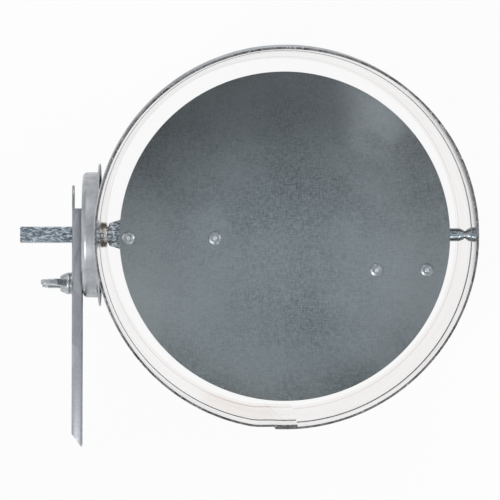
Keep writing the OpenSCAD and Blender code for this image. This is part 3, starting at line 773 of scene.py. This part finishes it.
def sleeve_inside():
    def marks(tree, place, color, roughness, height):
        angle, z = angle_and_height(tree, place)
        far = weld_spots(tree, angle, z)
        # heat stain round the welds and beside the seam
        stain = calc(tree, "MULTIPLY", window(tree, angle, -0.46, -0.05, 0.05),
                     window(tree, z, 0.03, 0.172, 0.012))
        stain = calc(tree, "MULTIPLY", stain, spread(tree, cloud(tree, place, 40.0), 0.3, 0.6, 0.35, 1.0))
        color = tint(tree, stain, color, rgb("d6bdac"))
        ring = window(tree, far, 0.0022, 0.0040, 0.0006)
        color = tint(tree, calc(tree, "MULTIPLY", ring, 0.55), color, rgb("8d7f6e"))
        # the crease that the joggle leaves, raised as a bump, with painted shade darkening the sheet along its two
        # slanted lines
        along = calc(tree, "MULTIPLY", angle, SLEEVE_IR)
        slant = calc(tree, "ADD", along, calc(tree, "MULTIPLY", calc(tree, "SUBTRACT", SLEEVE_LEN, z), 0.055))
        crease_and_shade = calc(tree, "ADD", window(tree, slant, 0.0008, 0.0014, 0.0003),
                      window(tree, slant, -0.0036, -0.0032, 0.0003), clamp=True)
        # painted shade: the sheet is darkened along the crease lines
        color = tint(tree, calc(tree, "MULTIPLY", crease_and_shade, 0.6), color, rgb("5c5656"))
        height = calc(tree, "SUBTRACT", height, calc(tree, "MULTIPLY", crease_and_shade, 2.0))
        # fine lines left by the rolls, parallel with the rim
        lines = cloud(tree, stretched(tree, place, (3, 3, 260)), 6.0, 4.0, 0.6)
        color = tint(tree, spread(tree, lines, 0.35, 0.75, 0.0, 0.16), color, rgb("9d9590"))
        height = calc(tree, "ADD", height, calc(tree, "MULTIPLY", lines, 0.6))
        return color, roughness, height
    return zinc_steel("sleeve_inside", rgb("f6f1ef"), rgb("e2dcda"), rough=(0.07, 0.14), crystal=(70, 0.12),
                      grain=(900, 0.10), clouds=(20, 0.3), bump=0.05, depth=0.01, metallic=0.95, extra=marks)


def sleeve_outside():
    def marks(tree, place, color, roughness, height):
        angle, z = angle_and_height(tree, place)
        far = weld_spots(tree, angle, z)
        color = tint(tree, calc(tree, "MULTIPLY", window(tree, far, 0.0018, 0.0042, 0.0008), 0.6), color, rgb("6f675c"))
        height = calc(tree, "SUBTRACT", height, spread(tree, far, 0.0012, 0.0030, 5.0, 0.0))
        streaks = cloud(tree, stretched(tree, place, (4, 4, 180)), 7.0, 4.0, 0.6)
        color = tint(tree, spread(tree, streaks, 0.4, 0.75, 0.0, 0.25), color, rgb("6b6d70"))
        dirt = calc(tree, "MULTIPLY", spread(tree, cloud(tree, place, 55.0, 5.0, 0.7), 0.52, 0.75), 0.35)
        color = tint(tree, dirt, color, rgb("6a6764"))
        roughness = calc(tree, "ADD", roughness, calc(tree, "MULTIPLY", dirt, 0.4), clamp=True)
        return color, roughness, height
    return zinc_steel("sleeve_outside", rgb("c6c9cc"), rgb("8b9094"), rough=(0.26, 0.40), crystal=(140, 0.35),
                      grain=(1400, 0.22), clouds=(14, 0.35), bump=0.12, depth=0.03, extra=marks)


def cut_edge():
    """Sheared sheet: dark, with bright specks where the zinc smeared over."""
    def specks(tree, place, color, roughness, height):
        bright = spread(tree, cloud(tree, place, 700.0, 2.0, 0.6), 0.60, 0.68)
        return tint(tree, bright, color, rgb("c9c8c6")), roughness, height
    return zinc_steel("cut_edge", rgb("8b898b"), rgb("2f2d30"), rough=(0.35, 0.6), crystal=(450, 0.5),
                      grain=(1800, 0.5), clouds=(120, 0.5), bump=0.3, depth=0.03, metallic=0.6, extra=specks)


def blade_sheet():
    def weave_and_painted_light(tree, place, color, roughness, height):
        along = cloud(tree, stretched(tree, place, (330, 1500, 400)), 1.0, 2.0, 0.6)
        across = cloud(tree, stretched(tree, place, (1500, 330, 400)), 1.0, 2.0, 0.6)
        grain = calc(tree, "MULTIPLY", calc(tree, "ADD", along, across), 0.5)
        color = tint(tree, spread(tree, grain, 0.40, 0.60, 0.0, 0.7, smooth=False), color, rgb("9aa5aa"))
        parts = put(tree, "SeparateXYZ", {0: place})
        x, y = parts.outputs[0], parts.outputs[1]
        # painted shade: a soft darker field towards +Y; painted sheen: lighter fields left and right
        top = spread(tree, calc(tree, "ADD", y, calc(tree, "MULTIPLY", cloud(tree, place, 12.0), 0.05)), 0.02, 0.11)
        color = tint(tree, calc(tree, "MULTIPLY", top, 0.55), color, rgb("4d5458"))
        # painted sheen: lighter fields left and right, in the lower half of the blade
        side = spread(tree, calc(tree, "ABSOLUTE", calc(tree, "ADD", x, 0.005)), 0.02, 0.085)
        level = window(tree, y, -0.075, 0.005, 0.035)
        color = tint(tree, calc(tree, "MULTIPLY", calc(tree, "MULTIPLY", side, level), 0.6), color, rgb("a9b3b8"))
        height = calc(tree, "ADD", height, grain)
        return color, roughness, height
    return zinc_steel("blade_sheet", rgb("8a9498"), rgb("646d71"), rough=(0.36, 0.5), crystal=(300, 0.18),
                      grain=(1300, 0.25), clouds=(16, 0.8), bump=0.12, depth=0.02, metallic=0.7, extra=weave_and_painted_light)


def bar_steel():
    def specks(tree, place, color, roughness, height):
        blotch = cloud(tree, stretched(tree, place, (330, 800, 800)), 1.0, 3.0, 0.7)
        color = tint(tree, spread(tree, blotch, 0.47, 0.58), color, rgb("c9d3db"))
        dark = cloud(tree, stretched(tree, place, (260, 900, 900)), 1.0, 3.0, 0.7)
        color = tint(tree, spread(tree, dark, 0.56, 0.66), color, rgb("2b3338"))
        return color, roughness, calc(tree, "ADD", height, blotch)
    return zinc_steel("bar_steel", rgb("8b969e"), rgb("4b555c"), rough=(0.3, 0.5), crystal=(500, 0.4),
                      grain=(1500, 0.5), clouds=(60, 0.3), bump=0.25, depth=0.04, metallic=0.75, extra=specks)


def make_finishes():
    plated = dict(crystal=(600, 0.12), grain=(2200, 0.25), clouds=(150, 0.35), bump=0.1, depth=0.01)
    return {
        "sleeve_inside": sleeve_inside(), "sleeve_outside": sleeve_outside(), "cut_edge": cut_edge(),
        "blade": blade_sheet(), "bar": bar_steel(),
        "bush": zinc_steel("bush_steel", rgb("dbd9d2"), rgb("aeada8"), rough=(0.22, 0.32), **plated),
        "bearing": zinc_steel("bearing_steel", rgb("c2d2d9"), rgb("8697a0"), rough=(0.2, 0.32), **plated),
        "pin": zinc_steel("pin_steel", rgb("cfd9de"), rgb("98a4ab"), rough=(0.18, 0.3), **plated),
        "spring": zinc_steel("spring_wire", rgb("9a9c9e"), rgb("65686b"), rough=(0.25, 0.35), **plated),
        "rivet": zinc_steel("rivet_aluminium", rgb("c9d2d6"), rgb("8c979d"), rough=(0.25, 0.4),
                            crystal=(900, 0.2), grain=(3000, 0.4), clouds=(500, 0.4), bump=0.2, depth=0.02),
        "stem": zinc_steel("rivet_stem_steel", rgb("f3f8fb"), rgb("b9c4cb"), rough=(0.2, 0.35),
                           crystal=(1200, 0.3), grain=(3500, 0.4), clouds=(600, 0.3), bump=0.3, depth=0.03),
        "pan": zinc_steel("pan_sheet", rgb("c9cbce"), rgb("8f9297"), rough=(0.28, 0.4), crystal=(260, 0.25),
                          grain=(1500, 0.25), clouds=(45, 0.5), stretch=(1, 1, 1), bump=0.1, depth=0.02),
        "lever": zinc_steel("lever_sheet", rgb("c3c6ca"), rgb("83878d"), rough=(0.26, 0.4), crystal=(160, 0.35),
                            grain=(1500, 0.3), clouds=(50, 0.5), stretch=(1, 0.35, 1), bump=0.12, depth=0.02),
        "bolt": zinc_steel("bolt_plate", rgb("cdd1d3"), rgb("8d9295"), rough=(0.2, 0.34), **plated),
        "nut": zinc_steel("wing_nut_plate", rgb("d3d7d9"), rgb("8f9699"), rough=(0.24, 0.4), crystal=(500, 0.2),
                          grain=(1600, 0.45), clouds=(180, 0.5), bump=0.3, depth=0.05),
    }


# putting it together


def three_finishes(piece, inside, outside, edge):
    """Inner wall, outer wall and cut edges of the sleeve, by the way each face looks."""
    mesh = piece.data
    mesh.materials.clear()
    for material in (inside, outside, edge):
        mesh.materials.append(material)
    for face in mesh.polygons:
        flat = Vector((face.center.x, face.center.y, 0)).normalized()
        out = face.normal.dot(flat)
        at_rim = min(face.center.z, SLEEVE_LEN - face.center.z) < 0.28 * MM
        if at_rim or abs(out) < 0.3:
            face.material_index = 2
        else:
            face.material_index = 1 if out > 0 else 0


def build_damper():
    finish = make_finishes()
    root, turning = "sleeve_body", "blade_body"

    sleeve = rolled_sleeve()
    dress(sleeve, finish["sleeve_inside"], root, "sleeve")
    three_finishes(sleeve, finish["sleeve_inside"], finish["sleeve_outside"], finish["cut_edge"])

    dress(round_blade(), finish["blade"], turning, "blade")
    dress(square_bar(), finish["bar"], turning, "square_bar")
    dress(bar_bushing(), finish["bush"], root, "bar_bushing")
    dress(spring_bearing(), finish["bearing"], turning, "spring_housing")
    dress(pivot_pin(), finish["pin"], "pin_body", "pivot_pin")
    coil = dress(pin_spring(), finish["spring"], turning, "pin_spring")
    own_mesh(coil)

    places = {
        "tail": ([-97 * MM, -43 * MM], -2.6 * MM, 3.8 * MM),
        "plate": ([89.1 * MM, 57.8 * MM], -22.6 * MM, 2.2 * MM),
    }
    for number, (kind, (along, side, grip)) in enumerate(places.items()):
        for letter, x in zip("ab", along):
            place = TURNED @ Matrix.Translation((x, side, BLADE_TOP))
            seed = number * 2 + ord(letter)
            body = rivet_body(f"{kind}_rivet_{letter}_body", place, 4.2 * MM, 1.2 * MM, 2.3 * MM, grip,
                              3.1 * MM, 2.4 * MM, 1.4 * MM, seed)
            dress(body, finish["rivet"], turning, f"{kind}_rivet_{letter}")
            stem = rivet_stem(f"{kind}_rivet_{letter}_stem", place, 1.38 * MM, 1.2 * MM, grip, 2.4 * MM, seed)
            dress(stem, finish["stem"], turning, f"{kind}_stem_{letter}")
    for letter, side in zip("ab", (1, -1)):
        place = Matrix.Translation((-(SLEEVE_OR + 1 * MM), 0, AXIS_Z + side * PAN_RIVET_Z)) @ LEVERWARD
        body = rivet_body(f"pan_rivet_{letter}_body", place, 3.2 * MM, 0.9 * MM, 1.6 * MM, 2.32 * MM,
                          2.2 * MM, 1.8 * MM, 0.9 * MM, 40 + side)
        dress(body, finish["rivet"], root, f"pan_rivet_{letter}")
        stem = rivet_stem(f"pan_rivet_{letter}_stem", place, 0.88 * MM, 0.9 * MM, 2.32 * MM, 1.8 * MM, 60 + side)
        dress(stem, finish["stem"], root, f"pan_stem_{letter}")

    dress(copy_of("dial_pan", "standoff_pan"), finish["pan"], root, "dial_pan")
    dress(copy_of("lever", "lever_folded"), finish["lever"], turning, "lever")
    dress(clamp_bolt(), finish["bolt"], turning, "clamp_bolt")
    dress(bolt_washer(), finish["bolt"], turning, "bolt_washer")
    dress(wing_nut(), finish["nut"], "nut_body", "wing_nut")


# studio


def add_camera():
    """Straight above, a little up and left of the duct's axis, as in the photograph."""
    eye = Vector((-0.0391, 0.0441, 2.7746))
    aim = Vector((-0.0219, -0.0072, 0.2286))
    back = (eye - aim).normalized()
    right = Vector((0, 1, 0)).cross(back).normalized()
    up = back.cross(right)
    data = bpy.data.cameras.new("camera")
    data.lens = 307
    data.sensor_width = 36
    data.clip_start = 0.05
    camera = bpy.data.objects.new("camera", data)
    turn = Matrix((right, up, back)).transposed().to_4x4()
    camera.matrix_world = Matrix.Translation(eye) @ turn
    bpy.context.scene.collection.objects.link(camera)
    bpy.context.scene.camera = camera


def seen_directly(tree):
    """1 for camera, glossy and transmission rays."""
    rays = put(tree, "LightPath").outputs
    return calc(tree, "MAXIMUM", rays["Is Camera Ray"],
                calc(tree, "MAXIMUM", rays["Is Glossy Ray"], rays["Is Transmission Ray"]))


def add_floor():
    bm = bmesh.new()
    bmesh.ops.create_circle(bm, cap_ends=True, radius=4.0, segments=64)
    floor = make("floor", bm, Matrix.Identity(4))
    material = bpy.data.materials.new("pale_floor")
    material.use_nodes = True
    tree = material.node_tree
    tree.nodes.remove(tree.nodes["Principled BSDF"])
    paint = put(tree, "BsdfDiffuse", {"Color": (0.86, 0.86, 0.86, 1)}).outputs[0]
    glow = put(tree, "Emission", {"Color": (1, 1, 1, 1), "Strength": 1.0}).outputs[0]
    white = calc(tree, "MULTIPLY", seen_directly(tree), 0.93)
    mixed = put(tree, "MixShader", {0: white, 1: paint, 2: glow}).outputs[0]
    tree.links.new(mixed, tree.nodes["Material Output"].inputs["Surface"])
    floor.data.materials.append(material)


def add_world():
    """White round the object, greyer overhead in what metal mirrors."""
    world = bpy.data.worlds.new("studio")
    bpy.context.scene.world = world
    world.use_nodes = True
    tree = world.node_tree
    tree.nodes.clear()
    rays = put(tree, "LightPath").outputs
    way = put(tree, "SeparateXYZ", {0: put(tree, "TexCoord").outputs["Generated"]}).outputs
    high = spread(tree, way[2], 0.15, 0.95)
    around = calc(tree, "ARCTAN2", way[1], way[0])
    sway = calc(tree, "MULTIPLY", calc(tree, "SINE", calc(tree, "MULTIPLY_ADD", around, 3.0, 0.8)), 0.16)
    side = calc(tree, "MULTIPLY", sway, window(tree, way[2], -0.2, 0.8, 0.2))
    mirrored = tint(tree, high, (1, 1, 1, 1), (0.80, 0.82, 0.84, 1))
    mirrored = tint(tree, calc(tree, "ADD", 0.16, side), mirrored, (0.25, 0.26, 0.28, 1))
    plain = put(tree, "Background", {"Color": (0.93, 0.96, 1.0, 1), "Strength": 0.55}).outputs[0]
    shown = put(tree, "Background", {"Color": mirrored, "Strength": 1.0}).outputs[0]
    white = put(tree, "Background", {"Color": (1, 1, 1, 1), "Strength": 1.0}).outputs[0]
    first = put(tree, "MixShader", {0: calc(tree, "MAXIMUM", rays["Is Glossy Ray"], rays["Is Transmission Ray"]),
                                    1: plain, 2: shown}).outputs[0]
    last = put(tree, "MixShader", {0: rays["Is Camera Ray"], 1: first, 2: white}).outputs[0]
    out = put_bare(tree, "ShaderNodeOutputWorld")
    tree.links.new(last, out.inputs["Surface"])


def add_lamp(name, spot, size, power, color=(1, 1, 1)):
    data = bpy.data.lights.new(name, "AREA")
    data.shape = "DISK"
    data.size = size
    data.energy = power
    data.color = color
    lamp = bpy.data.objects.new(name, data)
    aim = Vector((0, 0, 0.12)) - Vector(spot)
    lamp.matrix_world = Matrix.Translation(spot) @ aim.to_track_quat("-Z", "Y").to_matrix().to_4x4()
    bpy.context.scene.collection.objects.link(lamp)


def add_studio():
    add_floor()
    add_world()
    add_lamp("key_lamp", (-1.1, -0.9, 1.9), 0.8, 14)
    add_lamp("fill_lamp", (1.5, 0.6, 1.4), 1.0, 8)
    add_lamp("back_lamp", (0.2, 1.7, 1.2), 0.8, 7)


add_camera()
build_damper()
add_studio()
bpy.context.scene.view_settings.view_transform = "Standard"
